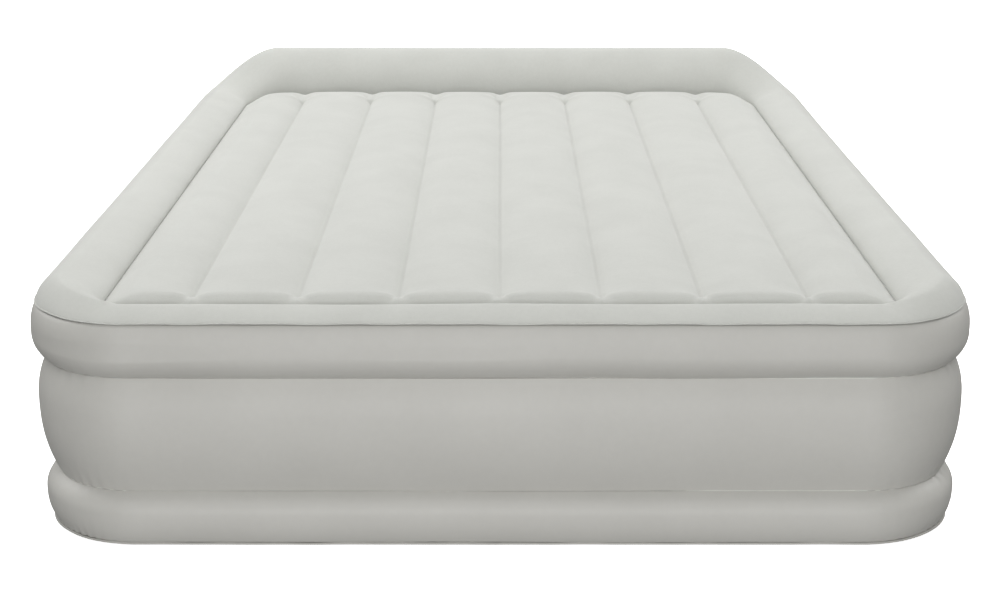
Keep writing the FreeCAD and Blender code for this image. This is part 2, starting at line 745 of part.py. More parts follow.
def make_door():
    left, _, right, high = bay_edges()
    gap, thick = dim["door_gap"], dim["plate_thickness"]
    axis_y, axis_height = plate_front - thick / 2, door_axis_height()
    door = prism("cord_door", "Y", plate_front, thick,
                 lambda o: o.box(left + gap, axis_height, right - gap, high - gap))
    add(door, "X", left + gap, right - left - gap * 2,
        lambda o: o.circle(axis_y, axis_height, thick / 2))
    middle, lip = (left + right) / 2, dim["lip_width"] / 2
    add(door, "Y", plate_front + dim["lip_proud"], dim["lip_proud"] + 1,
        lambda o: o.box(middle - lip, high - gap - dim["lip_height"] * 2,
                        middle + lip, high - gap - dim["lip_height"]))
    cut(door, "X", left, right - left,
        lambda o: o.circle(axis_y, axis_height, dim["door_pin_radius"] + dim["running_gap"]))
    keep("cord_door", door)
    reach = dim["door_pin_overlap"]
    keep("door_hinge_pin", prism(
        "door_hinge_pin", "X", left - reach, right - left + reach * 2,
        lambda o: o.circle(axis_y, axis_height, dim["door_pin_radius"])))


# ---------------------------------------------------------------- pump controls

def make_dial():
    """Knob, spindle and the diverter drum that the spindle turns."""
    back = plate_front + dim["dial_gap"]
    top = back + dim["dial_base"]
    bore_top = back + dim["dial_base"] / 2
    knob = prism("flow_dial", "Y", top, dim["dial_base"],
                 lambda o: o.circle(axis_x, axis_z, dim["dial_radius"]))
    half, reach = dim["dial_grip_half"], dim["dial_radius"] - 2
    add(knob, "Y", top + dim["dial_grip"], dim["dial_grip"] + 1, lambda o: o.round_box(
        axis_x - half, axis_z - reach, axis_x + half, axis_z + reach, half - 0.5))
    cut(knob, "Y", bore_top, dim["dial_base"],
        lambda o: o.circle(axis_x, axis_z, dim["spindle_radius"]))
    keep("flow_dial", knob)
    drum_front = plate_back - dim["flange_thickness"]
    drum_back = drum_front - dim["drum_length"]
    keep("dial_spindle", prism("dial_spindle", "Y", bore_top, bore_top - drum_back,
                               lambda o: o.circle(axis_x, axis_z, dim["spindle_radius"])))
    radius, wall = dim["drum_radius"], dim["drum_wall"]
    drum = prism("diverter_drum", "Y", drum_front, wall, lambda o: (
        o.circle(axis_x, axis_z, radius), o.circle(axis_x, axis_z, dim["spindle_radius"])))
    add(drum, "Y", drum_front - wall, dim["drum_length"] - wall, lambda o: (
        o.circle(axis_x, axis_z, radius), o.circle(axis_x, axis_z, radius - wall)))
    cut(drum, "Y", drum_front - wall * 2, dim["drum_length"] - wall * 3,
        lambda o: o.box(axis_x, axis_z - 7, axis_x + radius + 1, axis_z + 7))
    keep("diverter_drum", drum)


def make_diverter_housing():
    """The fixed cup around the drum, with an inlet port and an eye to the fan."""
    inner = dim["drum_radius"] + dim["drum_gap"]
    outer = inner + dim["drum_wall"]
    front, wall = plate_back, dim["drum_wall"]
    cup = prism("diverter_housing", "Y", front, front - fan_front - wall, lambda o: (
        o.circle(axis_x, axis_z, outer), o.circle(axis_x, axis_z, inner)))
    add(cup, "Y", fan_front + wall, wall, lambda o: (
        o.circle(axis_x, axis_z, outer), o.circle(axis_x, axis_z, dim["eye_radius"])))
    cut(cup, "Y", front - wall * 3, dim["drum_length"] - wall * 3,
        lambda o: o.box(axis_x, axis_z - 7, axis_x + outer + 1, axis_z + 7))
    keep("diverter_housing", cup)


def make_switch():
    """The rocker switch: its housing is open at the front, and the button tilts in it."""
    z, width, height = (pump_z + dim["switch_drop"], dim["switch_half_width"],
                        dim["switch_half_height"])
    bezel, wall, depth = dim["switch_bezel"], dim["switch_wall"], dim["switch_depth"]

    def frame_box(margin, inside):
        return lambda o: (
            o.box(axis_x - width - margin, z - height - margin,
                  axis_x + width + margin, z + height + margin),
            o.box(axis_x - width + inside, z - height + inside,
                  axis_x + width - inside, z + height - inside))

    housing = prism("switch_housing", "Y", plate_front + bezel, bezel, frame_box(bezel, wall))
    add(housing, "Y", plate_front, depth, frame_box(ZERO, wall))
    add(housing, "Y", plate_front - depth, wall, lambda o: o.box(
        axis_x - width, z - height, axis_x + width, z + height))
    pivot_y = plate_front - dim["rocker_pivot_depth"]
    pin = dim["rocker_pin_radius"]
    cut(housing, "X", axis_x - width, width * 2, lambda o: o.circle(
        pivot_y, z, pin + dim["running_gap"]))
    keep("switch_housing", housing)

    half, proud, deep = dim["rocker_half_height"], dim["rocker_proud"], dim["rocker_depth"]
    length = dim["rocker_half_width"] * 2
    # drawn level about the origin, then carried to the pivot and tilted to its off side
    button = prism("rocker_button", "X", -(length / 2), length, lambda o: o.polygon([
        (-deep, -(half / 2)), (proud + 2, -half), (proud + 0.6, ZERO), (proud + 2, half),
        (-deep, half / 2)]))
    pin_length = width * 2 - wall
    add(button, "X", -(pin_length / 2), pin_length, lambda o: o.circle(ZERO, ZERO, pin))
    button.Placement = Placement(Vector(axis_x.number, pivot_y.number, z.number),
                                 Rotation(Vector(1, 0, 0), dim["rocker_tilt"].number))
    for axis, place in (("x", axis_x), ("y", pivot_y), ("z", z)):
        button.setExpression(f"Placement.Base.{axis}", place.text)
    button.setExpression("Placement.Rotation.Angle", dim["rocker_tilt"].text)
    keep("rocker_button", button)


# ---------------------------------------------------------------- fan and motor

def on_axis(*radii):
    """Circles about the dial's and motor's common axis."""
    return lambda o: [o.circle(axis_x, axis_z, radius) for radius in radii]


def make_fan():
    radius, wall = dim["fan_radius"], dim["fan_wall"]
    housing = prism("fan_housing", "Y", fan_front, wall, on_axis(radius, dim["eye_radius"]))
    add(housing, "Y", fan_front - wall, dim["fan_depth"] - wall, on_axis(radius, radius - wall))
    cut(housing, "Y", fan_front - wall * 2, dim["fan_depth"] - wall * 3,
        lambda o: o.box(axis_x - radius - 1, axis_z - 24, axis_x - radius / 2, axis_z - 2))
    keep("fan_housing", housing)
    back = prism("fan_back_plate", "Y", fan_back, wall, on_axis(radius, dim["bush_radius"]))
    cut(back, "Y", fan_back, wall, tie_rods(dim["tie_radius"]))
    keep("fan_back_plate", back)


def make_impeller():
    """A backed disc with a hub and backward-leaning vanes."""
    web = dim["impeller_web"]
    web_front = fan_back + 2 + web
    disc = prism("impeller", "Y", web_front, web,
                 on_axis(dim["impeller_radius"], dim["shaft_radius"]))
    hub_front = web_front + dim["vane_height"] / 2
    add(disc, "Y", hub_front, dim["vane_height"] / 2,
        on_axis(dim["shaft_radius"] * 3, dim["shaft_radius"]))
    vane = add(disc, "Y", web_front + dim["vane_height"], dim["vane_height"] + web / 2,
               lambda o: o.polygon([
                   (axis_x + 9, axis_z), (axis_x + 30, axis_z - 14),
                   (axis_x + 30, axis_z - 14 + dim["vane_thickness"]),
                   (axis_x + 9, axis_z + dim["vane_thickness"])]))
    axis_sketch = Outline(disc, "X", axis_x)
    line = axis_sketch.add(Part.LineSegment(Vector(fan_back.number, axis_z.number, 0),
                                            Vector(fan_front.number, axis_z.number, 0)))
    axis_sketch.fix(line, 1, fan_back, axis_z)
    axis_sketch.fix(line, 2, fan_front, axis_z)
    pattern = disc.newObject("PartDesign::PolarPattern", "vane_pattern")
    pattern.Originals = [vane]
    pattern.Axis = (axis_sketch.sketch, ["Edge1"])
    pattern.Angle = 360
    pattern.Occurrences = VANE_COUNT
    disc.Tip = pattern
    keep("impeller", disc)
    keep("impeller_nut", prism("impeller_nut", "Y", hub_front + dim["nut_length"],
                               dim["nut_length"],
                               on_axis(dim["nut_radius"], dim["shaft_radius"])))
    return hub_front + dim["nut_length"] + 1


def tie_rods(radius):
    """The two long screws that hold the motor together, above and below its axis."""
    offset = dim["tie_offset"]
    return lambda o: [o.circle(axis_x, axis_z + offset * side, radius) for side in (-1, 1)]


def make_motor(shaft_front):
    """Field stack and coils, armature on its shaft, commutator, brushes and bushes."""
    plate_rear = fan_back - dim["fan_wall"]
    shaft, gap = dim["shaft_radius"], dim["bush_gap"]
    bush_rear = bracket_front - dim["bush_length"]
    keep("rotor_shaft", prism("rotor_shaft", "Y", shaft_front, shaft_front - bush_rear - 1,
                              on_axis(shaft)))
    keep("front_bush", prism("front_bush", "Y", fan_back, dim["bush_length"],
                             on_axis(dim["bush_radius"], shaft + gap)))
    keep("rear_bush", prism("rear_bush", "Y", bracket_front, dim["bush_length"],
                            on_axis(dim["bush_radius"], shaft + gap)))
    bore = dim["rotor_radius"] + dim["rotor_air_gap"]
    field = prism("field_stack", "Y", field_front, dim["field_length"],
                  on_axis(dim["field_radius"], bore))
    cut(field, "Y", field_front, dim["field_length"], tie_rods(dim["tie_radius"]))
    keep("field_stack", field)
    coil = dim["coil_length"]
    coils = prism("field_coils", "Y", field_front + coil, coil,
                  on_axis(dim["coil_outer"] - 1, dim["coil_inner"]))
    add(coils, "Y", field_back, coil, on_axis(dim["coil_outer"] - 1, dim["coil_inner"]))
    keep("field_coils", coils)
    core = prism("rotor_core", "Y", field_front, dim["field_length"],
                 on_axis(dim["rotor_radius"], shaft))

    def slots(outline):
        for number in range(ROTOR_SLOTS):
            angle = 2 * math.pi * number / ROTOR_SLOTS
            outline.circle(axis_x + dim["rotor_radius"] * (0.72 * math.cos(angle)),
                           axis_z + dim["rotor_radius"] * (0.72 * math.sin(angle)),
                           dim["shaft_radius"])

    cut(core, "Y", field_front, dim["field_length"], slots)
    keep("rotor_core", core)
    keep("commutator", prism("commutator", "Y", commutator_front, dim["commutator_length"],
                             on_axis(dim["commutator_radius"], shaft)))
    near = dim["commutator_radius"] + dim["brush_gap"]
    half = dim["brush_width"] / 2
    brush_front = commutator_front - dim["commutator_length"] / 2 + half
    keep("carbon_brushes", prism("carbon_brushes", "Y", brush_front, dim["brush_width"],
                                 lambda o: [o.box(axis_x + near * side, axis_z - half,
                                                  axis_x + (near + dim["brush_length"]) * side,
                                                  axis_z + half) for side in (-1, 1)]))
    thick = dim["bracket_thickness"]
    bracket = prism("end_bracket", "Y", bracket_front, thick,
                    on_axis(dim["field_radius"] + 2, dim["bush_radius"]))
    add(bracket, "Y", field_back, field_back - bracket_front + thick / 2, lambda o: [
        o.box(axis_x + 4 * side, axis_z + dim["tie_offset"] * end - 1.8,
              axis_x + 8 * side, axis_z + dim["tie_offset"] * end + 1.8)
        for side in (-1, 1) for end in (-1, 1)])
    cut(bracket, "Y", bracket_front, thick, tie_rods(dim["tie_radius"]))
    keep("end_bracket", bracket)
    rods = prism("motor_screws", "Y", fan_back, fan_back - bracket_front + thick,
                 tie_rods(dim["tie_radius"]))
    add(rods, "Y", bracket_front - thick, dim["screw_head"] + 0.6, tie_rods(dim["tie_radius"] * 2))
    keep("motor_screws", rods)


# ---------------------------------------------------------------- outlet check valve

def make_valve():
    """A sprung poppet over the tub's outlet, its stem guided by a windowed disc."""
    wall = dim["tub_wall"]
    guide_front = tub_end + dim["guide_thickness"]
    stem, hole = dim["stem_radius"], dim["valve_hole_radius"]

    def centred(*radii):
        return lambda o: [o.circle(valve_x, pump_z, radius) for radius in radii]

    guide = prism("valve_guide", "Y", guide_front, dim["guide_thickness"],
                  centred(hole + 5, stem + dim["running_gap"]))
    offset = dim["guide_window_offset"]
    cut(guide, "Y", guide_front, dim["guide_thickness"], lambda o: [
        o.circle(valve_x + offset * math.cos(math.radians(angle)),
                 pump_z + offset * math.sin(math.radians(angle)),
                 dim["guide_window_radius"]) for angle in range(30, 390, 60)])
    keep("valve_guide", guide)
    disc_front = tub_end - wall - dim["poppet_gap"]
    stem_front = guide_front + dim["spring_length"] + dim["clip_thickness"] + 1
    poppet = prism("valve_poppet", "Y", disc_front, dim["poppet_thickness"],
                   centred(dim["poppet_radius"]))
    add(poppet, "Y", stem_front, stem_front - disc_front + 1, centred(stem))
    keep("valve_poppet", poppet)
    clip_back = guide_front + dim["spring_length"]
    keep("stem_clip", prism("stem_clip", "Y", clip_back + dim["clip_thickness"],
                            dim["clip_thickness"], centred(dim["clip_radius"], stem)))
    make_valve_spring(guide_front)


def make_valve_spring(seat):
    """A round wire swept along a helix about the stem, between the guide and the clip."""
    wire = dim["spring_wire"].number
    length = dim["spring_length"].number - wire * 2 - 0.2
    turns = 5
    coil = doc.addObject("Part::Helix", "spring_path")
    coil.Pitch, coil.Height, coil.Radius = length / turns, length, dim["spring_radius"].number
    coil.setExpression("Radius", dim["spring_radius"].text)
    section = doc.addObject("Part::Circle", "spring_wire_section")
    section.Radius = wire
    section.setExpression("Radius", dim["spring_wire"].text)
    section.Placement = Placement(Vector(dim["spring_radius"].number, 0, 0),
                                  Rotation(Vector(1, 0, 0), 90))
    spring = doc.addObject("Part::Sweep", "valve_spring")
    spring.Sections, spring.Spine = [section], (coil, ["Edge1"])
    spring.Solid, spring.Frenet = True, True
    spring.Placement = Placement(
        Vector(valve_x.number, seat.number + wire + 0.1, pump_z.number),
        Rotation(Vector(1, 0, 0), -90))
    keep("valve_spring", spring)


# ---------------------------------------------------------------- build, check and write

def check_and_write():
    doc.recompute()
    failed = [item.Label for item in doc.Objects
              if {"Invalid", "Error"} & set(item.State)]
    if failed:
        raise RuntimeError(f"objects that did not compute: {failed}")
    for name, item in parts.items():
        if item.Shape.isNull() or not item.Shape.isValid() or not item.Shape.Solids:
            raise RuntimeError(f"{name}: no valid solid")
    if len(parts) > MAX_FILES:
        raise RuntimeError(f"{len(parts)} sub-parts are too many")
    os.makedirs("parts", exist_ok=True)
    for name, item in parts.items():
        item.Shape.exportStep(f"parts/{name}.step")
    whole = FreeCAD.BoundBox()
    for item in parts.values():
        whole.add(item.Shape.BoundBox)
    print(f"{len(parts)} sub-parts, {whole.XLength:.1f} x {whole.YLength:.1f} "
          f"x {whole.ZLength:.1f} mm")


make_side_bands()
make_bottom_sheet()
make_border()
make_bolster()
make_deck()
make_inner_sheets()
make_pump_panel()
make_collar()
make_tub()
make_gasket()
make_plate()
make_plate_screws()
make_cord_bay()
make_door()
make_dial()
make_diverter_housing()
make_switch()
make_fan()
make_motor(make_impeller())
make_valve()
check_and_write()
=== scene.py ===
import math

import bpy
import numpy as np
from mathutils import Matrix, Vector


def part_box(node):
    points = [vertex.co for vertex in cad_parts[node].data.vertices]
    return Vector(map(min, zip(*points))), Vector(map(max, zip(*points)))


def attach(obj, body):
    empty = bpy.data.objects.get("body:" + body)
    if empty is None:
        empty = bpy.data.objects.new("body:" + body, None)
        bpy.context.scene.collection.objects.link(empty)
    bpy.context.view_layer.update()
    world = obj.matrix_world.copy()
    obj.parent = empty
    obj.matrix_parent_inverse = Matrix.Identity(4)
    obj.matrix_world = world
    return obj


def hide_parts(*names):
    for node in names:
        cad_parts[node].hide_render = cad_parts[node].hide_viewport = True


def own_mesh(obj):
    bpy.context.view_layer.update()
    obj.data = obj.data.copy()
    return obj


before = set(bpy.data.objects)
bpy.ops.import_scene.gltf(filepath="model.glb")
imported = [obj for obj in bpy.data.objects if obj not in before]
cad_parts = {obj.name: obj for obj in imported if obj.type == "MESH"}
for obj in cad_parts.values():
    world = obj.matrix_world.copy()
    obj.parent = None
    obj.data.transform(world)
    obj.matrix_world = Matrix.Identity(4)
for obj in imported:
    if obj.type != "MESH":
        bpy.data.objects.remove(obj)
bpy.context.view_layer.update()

# A raised air mattress: a flocked top with lengthwise channels and a built-in bolster, three
# bulging vinyl side bands and, in the head wall, a built-in pump. Metres, +Z up, foot at -Y.

ROOT = "mattress"
TAU = 2 * math.pi

# ---------------------------------------------------------------- sizes read from the frame

UPPER, WAIST, BASE = (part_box(f"{name}_side_band") for name in ("upper", "waist", "base"))
DECK, BOLSTER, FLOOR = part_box("sleep_deck"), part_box("head_bolster"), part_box("bottom_sheet")
HALF_X, HALF_Y = UPPER[1].x, UPPER[1].y
PLAN_CORNER = 0.18
WAIST_CREST_INSET, BASE_CREST_INSET = HALF_X - WAIST[1].x, HALF_X - BASE[1].x
# welds and crests of the side bands, each as (inset from the widest outline, height)
TOP_SEAM = (0.0110, 0.3745)
UPPER_CREST = (0.0, 0.326)
UPPER_CREASE = (0.022, (UPPER[0].z + WAIST[1].z) / 2)
WAIST_CREST = (WAIST_CREST_INSET, 0.209)
LOWER_CREASE = (0.030, (WAIST[0].z + BASE[1].z) / 2)
BASE_CREST = (BASE_CREST_INSET + 0.0015, 0.054)
FLOOR_SEAM = (HALF_X - FLOOR[1].x - 0.002, BASE[0].z)
# the deck: height of its beam welds, crown of a channel over them, how far its edge weld
# lies below them, and the plan corners at the foot and the head
DECK_SEAM_Z = 0.3903
CHANNEL_RISE = 0.0245
EDGE_DIP = 0.0075
DECK_CORNERS = (0.030, 0.095)
SLEEP_BEAMS = [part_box(f"sleep_beam_{n}") for n in range(1, 8)]
VALLEY_X = sorted((low.x + high.x) / 2 for low, high in SLEEP_BEAMS)
VALLEY_ENDS = (SLEEP_BEAMS[0][0].y, SLEEP_BEAMS[0][1].y)
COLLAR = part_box("pump_collar")
COLLAR_LIP = 0.0074
# film thicknesses as drawn: walls and top, and the floor sheet
SKIN = 0.0012
FLOOR_SKIN = 0.0008

# ---------------------------------------------------------------- mesh helpers


def smoothstep(low, high, value):
    """0 below low, 1 above high, and 3k^2 - 2k^3 between, for k the share of the way."""
    k = np.clip((value - low) / (high - low), 0, 1)
    return k * k * (3 - 2 * k)


def grid_quads(rows, columns, ring):
    """Quads of a grid stored row by row, shaped (rows - 1, columns, 4); ring closes the rows."""
    last = columns if ring else columns - 1
    r, c = np.meshgrid(np.arange(rows - 1), np.arange(last), indexing="ij")
    after = (c + 1) % columns
    return np.stack([r * columns + c, r * columns + after,
                     (r + 1) * columns + after, (r + 1) * columns + c], axis=-1)


def make_mesh(name, points, quads, caps=()):
    """A piece from points, quads and the flat faces that close it, if it has any."""
    quads = quads.reshape(-1, 4)
    loops = np.concatenate([quads.ravel(), *caps]).astype(np.int32)
    counts = np.concatenate([np.full(len(quads), 4), [len(cap) for cap in caps]])
    starts = np.concatenate([[0], np.cumsum(counts)[:-1]]).astype(np.int32)
    mesh = bpy.data.meshes.new(name)
    mesh.vertices.add(points.size // 3)
    mesh.vertices.foreach_set("co", points.astype(np.float32).ravel())
    mesh.loops.add(len(loops))
    mesh.loops.foreach_set("vertex_index", loops)
    mesh.polygons.add(len(counts))
    mesh.polygons.foreach_set("loop_start", starts)
    mesh.polygons.foreach_set("use_smooth", np.ones(len(counts), dtype=bool))
    mesh.update(calc_edges=True)
    piece = bpy.data.objects.new(name, mesh)
    bpy.context.scene.collection.objects.link(piece)
    return piece


def dress(piece, material, replaced, skin=SKIN):
    """Gives a piece its film thickness, inwards, then its material and body, and hides the CAD
    nodes it stands for.
    """
    film = piece.modifiers.new("film", "SOLIDIFY")
    film.thickness, film.offset = skin, -1
    piece.data.materials.append(material)
    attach(piece, ROOT)
    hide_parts(*replaced)
    return piece


# ---------------------------------------------------------------- places round the plan

FOOT_R, CORNER_FR, SIDE_R, CORNER_HR, HEAD, CORNER_HL, SIDE_L, CORNER_FL, FOOT_L = range(9)
COUNTS = (76, 60, 120, 60, 190, 60, 120, 60, 76)
SEGMENT = np.repeat(np.arange(9), COUNTS)
SHARE = np.concatenate([np.arange(n) / n for n in COUNTS])
HEAD_RUN = HALF_X - PLAN_CORNER
PUMP_EDGES = (COLLAR[1].x - COLLAR_LIP, COLLAR[0].x + COLLAR_LIP)
for edge in PUMP_EDGES:
    at_edge = (1 - edge / HEAD_RUN) / 2
    nearest = np.argmin(np.where(SEGMENT == HEAD, np.abs(SHARE - at_edge), np.inf))
    SHARE[nearest] = at_edge
IN_CORNER = SEGMENT % 2 == 1
TURN = np.where(IN_CORNER, SHARE, 0) * TAU / 4


def outline(x, low, high, low_corner, high_corner):
    """A rounded rectangle at every station: straight runs and quarter arcs, anticlockwise
    from the middle of the foot, each walked evenly."""
    a, b, k = low_corner, high_corner, SHARE
    sin, cos = np.sin(TURN), np.cos(TURN)
    foot, head = np.full_like(k, low), np.full_like(k, high)
    right, left = np.full_like(k, x), np.full_like(k, -x)
    rise = (high - b - low - a) * k
    px = [(x - a) * k, x - a + a * sin, right, x - b + b * cos, (x - b) * (1 - 2 * k),
          -x + b - b * sin, left, -x + a - a * cos, -(x - a) * (1 - k)]
    py = [foot, low + a - a * cos, low + a + rise, high - b + b * sin, head,
          high - b + b * cos, high - b - rise, low + a - a * sin, foot]
    return np.stack([np.choose(SEGMENT, px), np.choose(SEGMENT, py)], axis=-1)


OUTER = outline(HALF_X, -HALF_Y, HALF_Y, PLAN_CORNER, PLAN_CORNER)
FACING = np.choose(SEGMENT, [-1, -1, 0, 0, 1, 1, 2, 2, 3]) * TAU / 4 + TURN
NORMAL = np.stack([np.cos(FACING), np.sin(FACING)], axis=-1)
STEP = np.linalg.norm(np.roll(OUTER, -1, axis=0) - OUTER, axis=1)
ALONG = np.concatenate([[0], np.cumsum(STEP)[:-1]])
ROUND = ALONG / STEP.sum() * TAU
AT_CORNER = np.where(IN_CORNER, np.sin(SHARE * math.pi), 0)


def sway(seed, waves):
    """Slow unevenness round the plan, about -1 to 1: sines of whole periods, summed, over the
    square root of how many there are."""
    phases = np.random.default_rng(seed).uniform(0, TAU, len(waves))
    lobes = [np.sin(ROUND * wave + phase) for wave, phase in zip(waves, phases)]
    return np.sum(lobes, axis=0) / len(waves) ** 0.5


def uneven(seed, waves, size):
    """The same unevenness with a size in metres."""
    return sway(seed, waves) * size


def ring(inset, height):
    """Rows of points: each station moved in from the outer plan by inset, at height."""
    inset, height = np.broadcast_arrays(inset, height)
    plan = OUTER[None] - NORMAL[None] * inset[..., None]
    return np.concatenate([plan, height[..., None]], axis=-1)


def bow(low, crest, high, rows, down_power, up_power, snaps=()):
    """Insets and heights, low to high, of a bulging band between two welds.

    Each half is a parabola or a little fuller: for a share s of the way from crest to weld,
    the inset is c + (w - c) s^p. Rows nearest to a snap height move to it."""
    turn = np.linspace(-1, 1, rows)
    end = np.where(turn < 0, low[1], high[1])
    height = crest[1] + (end - crest[1]) * (1 - (1 - np.abs(turn)) ** 1.3)
    for snap in snaps:
        height[np.argmin(np.abs(height - snap))] = snap
    share = np.clip((height - crest[1]) / (end - crest[1]), 0, 1)
    weld = np.where(turn < 0, low[0], high[0])
    power = np.where(turn < 0, down_power, up_power)
    return (crest[0] + (weld - crest[0]) * share ** power)[:, None], height[:, None]


def gathers(height, weld_z, reach, pitch, depth, seed, straight=0.12):
    """Short gathers that run out from a weld, deepest at it and in the plan corners.

    Depth e^(-distance / reach) times a wave of the given pitch whose spacing and strength
    drift slowly, so no two are alike."""
    drift = sway(seed, (5, 9, 14)) * 2.6 + sway(seed + 1, (31, 43)) * 1.1
    wave = np.sin(ALONG / pitch * TAU + drift) * (0.55 + 0.45 * sway(seed + 2, (17, 23, 37)))
    strength = straight + (1 - straight) * AT_CORNER ** 0.7
    return depth * np.exp(-np.abs(height - weld_z) / reach) * (wave * strength)[None]


# ---------------------------------------------------------------- vinyl side bands

WELD_TUCK = 0.004
CORNER_LIFT = 0.001
# round the pump the film is drawn flat: half width and half height of the flat, how far it
# takes to fade, the inset it is drawn to, and how strongly
STRETCH_HALF_X, STRETCH_HALF_Z = 0.097, 0.075
STRETCH_FADE_X, STRETCH_FADE_Z = 0.044, 0.060
STRETCH_INSET, STRETCH_SHARE = 0.0075, 0.7


def tucked(inset, height):
    """Adds a row at each weld that runs on level into the crease, so it reads as a line."""
    inset = np.vstack([inset[:1] + WELD_TUCK, inset, inset[-1:] + WELD_TUCK])
    return inset, np.vstack([height[:1], height, height[-1:]])


def make_upper_band(material):
    """The top band, from the upper crease to the weld under the flocked top."""
    pinch, pinch_reach = 0.0060, 0.0018
    inset, height = tucked(*bow(UPPER_CREASE, UPPER_CREST, TOP_SEAM, rows=40,
                                down_power=2.4, up_power=2.7))
    height = height + uneven(seed=3, waves=(7, 12, 19), size=0.0006)
    inset = (inset + gathers(height, UPPER_CREASE[1], reach=0.012, pitch=0.030, depth=0.0011,
                             seed=11)
             + gathers(height, TOP_SEAM[1], reach=0.010, pitch=0.021, depth=0.0007, seed=15))
    inset = inset + uneven(seed=4, waves=(4, 9, 13), size=0.0007)[None]
    inset = inset + pinch * np.exp((height - TOP_SEAM[1]) / pinch_reach)
    points = ring(np.maximum(inset, 0), height)
    piece = make_mesh("upper_side_wall", points, grid_quads(len(points), len(OUTER), True))
    return dress(piece, material, ["upper_side_band"])


def make_waist_band(material):
    """The tall middle band; the pump's collar covers the edge of the hole in its head side."""
    hole = (COLLAR[0].z + COLLAR_LIP, COLLAR[1].z - COLLAR_LIP)
    inset, height = tucked(*bow(LOWER_CREASE, WAIST_CREST, UPPER_CREASE, rows=60,
                                down_power=2.4, up_power=2.4, snaps=hole))
    inset = (inset + gathers(height, UPPER_CREASE[1], reach=0.014, pitch=0.034, depth=0.0012,
                             seed=21)
             + gathers(height, LOWER_CREASE[1], reach=0.018, pitch=0.027, depth=0.0015, seed=25))
    inset = inset + uneven(seed=5, waves=(3, 8, 11), size=0.0010)[None]
    past_x = np.abs(OUTER[:, 0] - sum(PUMP_EDGES) / 2) - STRETCH_HALF_X
    past_z = np.abs(height - sum(hole) / 2) - STRETCH_HALF_Z
    near_pump = smoothstep(STRETCH_FADE_X, 0, past_x) * (SEGMENT == HEAD)
    stretched = smoothstep(STRETCH_FADE_Z, 0, past_z) * near_pump[None]
    inset = inset + stretched * (STRETCH_INSET - inset) * STRETCH_SHARE
    points = ring(inset, height)
    quads = grid_quads(len(points), len(OUTER), True)
    middle_z = (points[:-1, 0, 2] + points[1:, 0, 2]) / 2
    middle_x = (OUTER[:, 0] + np.roll(OUTER[:, 0], -1)) / 2
    open_rows = (middle_z > hole[0]) & (middle_z < hole[1])
    open_columns = ((SEGMENT == HEAD) & (middle_x < PUMP_EDGES[0])
                    & (middle_x > PUMP_EDGES[1]))
    piece = make_mesh("waist_side_wall", points,
                      quads[~(open_rows[:, None] & open_columns[None])])
    return dress(piece, material, ["waist_side_band", "pump_panel"])


def make_base_band(material):
    """The bottom band, from the weld at the floor sheet to the lower crease."""
    inset, height = tucked(*bow(FLOOR_SEAM, BASE_CREST, LOWER_CREASE, rows=42,
                                down_power=2.5, up_power=2.6))
    inset = (inset + gathers(height, LOWER_CREASE[1], reach=0.010, pitch=0.024, depth=0.0012,
                             seed=31)
             + gathers(height, FLOOR_SEAM[1], reach=0.013, pitch=0.018, depth=0.0016, seed=35,
                       straight=0.2))
    inset = inset + uneven(seed=6, waves=(5, 10, 16), size=0.0008)[None]
    inset = inset + CORNER_LIFT * smoothstep(BASE_CREST[1], FLOOR_SEAM[1], height) * AT_CORNER
    points = ring(inset, height)
    piece = make_mesh("base_side_wall", points, grid_quads(len(points), len(OUTER), True))
    return dress(piece, material, ["base_side_band"])


def make_floor_sheet(material):
    """The sheet it stands on: a weld lip round the edge, a roll down to the floor, and flat."""
    lip_inset = FLOOR_SEAM[0] + np.array([0.010, 0.003, -0.0018, -0.0026, -0.0018])
    lip_z = FLOOR_SEAM[1] + np.array([-0.0008, -0.0005, -0.0008, -0.0018, -0.0028])
    roll_start, roll_reach, roll_rows, free_reach = 0.003, 0.050, 16, 0.003
    turn = np.linspace(0.04, 1, roll_rows) * TAU / 4
    roll_inset = FLOOR_SEAM[0] - roll_start + roll_reach * (1 - np.cos(turn))
    roll_z = lip_z[-1] * (1 - np.sin(turn))
    inset = np.concatenate([lip_inset, roll_inset])[::-1, None]
    height = np.concatenate([lip_z, roll_z])[::-1, None]
    free = np.exp(-np.abs(height - FLOOR_SEAM[1]) / free_reach)
    inset = inset + free * uneven(seed=41, waves=(21, 34, 55), size=0.0008)[None]
    height = height + free * uneven(seed=42, waves=(19, 37, 71), size=0.0006)[None]
    points = ring(inset + CORNER_LIFT * AT_CORNER, np.maximum(height, 0))
    cap = np.arange(len(OUTER))[::-1]
    piece = make_mesh("floor_sheet", points, grid_quads(len(points), len(OUTER), True), [cap])
    return dress(piece, material, ["bottom_sheet"], skin=FLOOR_SKIN)


# ---------------------------------------------------------------- flocked top

FADE, NONE, FULL = smoothstep(0, 1, SHARE), 0 * SHARE, 1 + 0 * SHARE
HEAD_FADE_POWER = 1.2
FOOT_WEIGHT = np.choose(SEGMENT, [FULL, 1 - FADE, NONE, NONE, NONE, NONE, NONE, FADE, FULL])
HEAD_WEIGHT = np.choose(SEGMENT, [NONE, NONE, NONE, FADE, FULL, 1 - FADE, NONE, NONE,
                                  NONE]) ** HEAD_FADE_POWER


def by_end(foot, side, head):
    """A value round the plan that has its own size at the foot, the sides and the head."""
    return side + (foot - side) * FOOT_WEIGHT + (head - side) * HEAD_WEIGHT


def quarter(turn, power):
    """Run and rise, 0 to 1, along a superellipse quarter: level with x^p + y^p = 1."""
    return 1 - np.cos(turn) ** (2 / power), np.sin(turn) ** (2 / power)


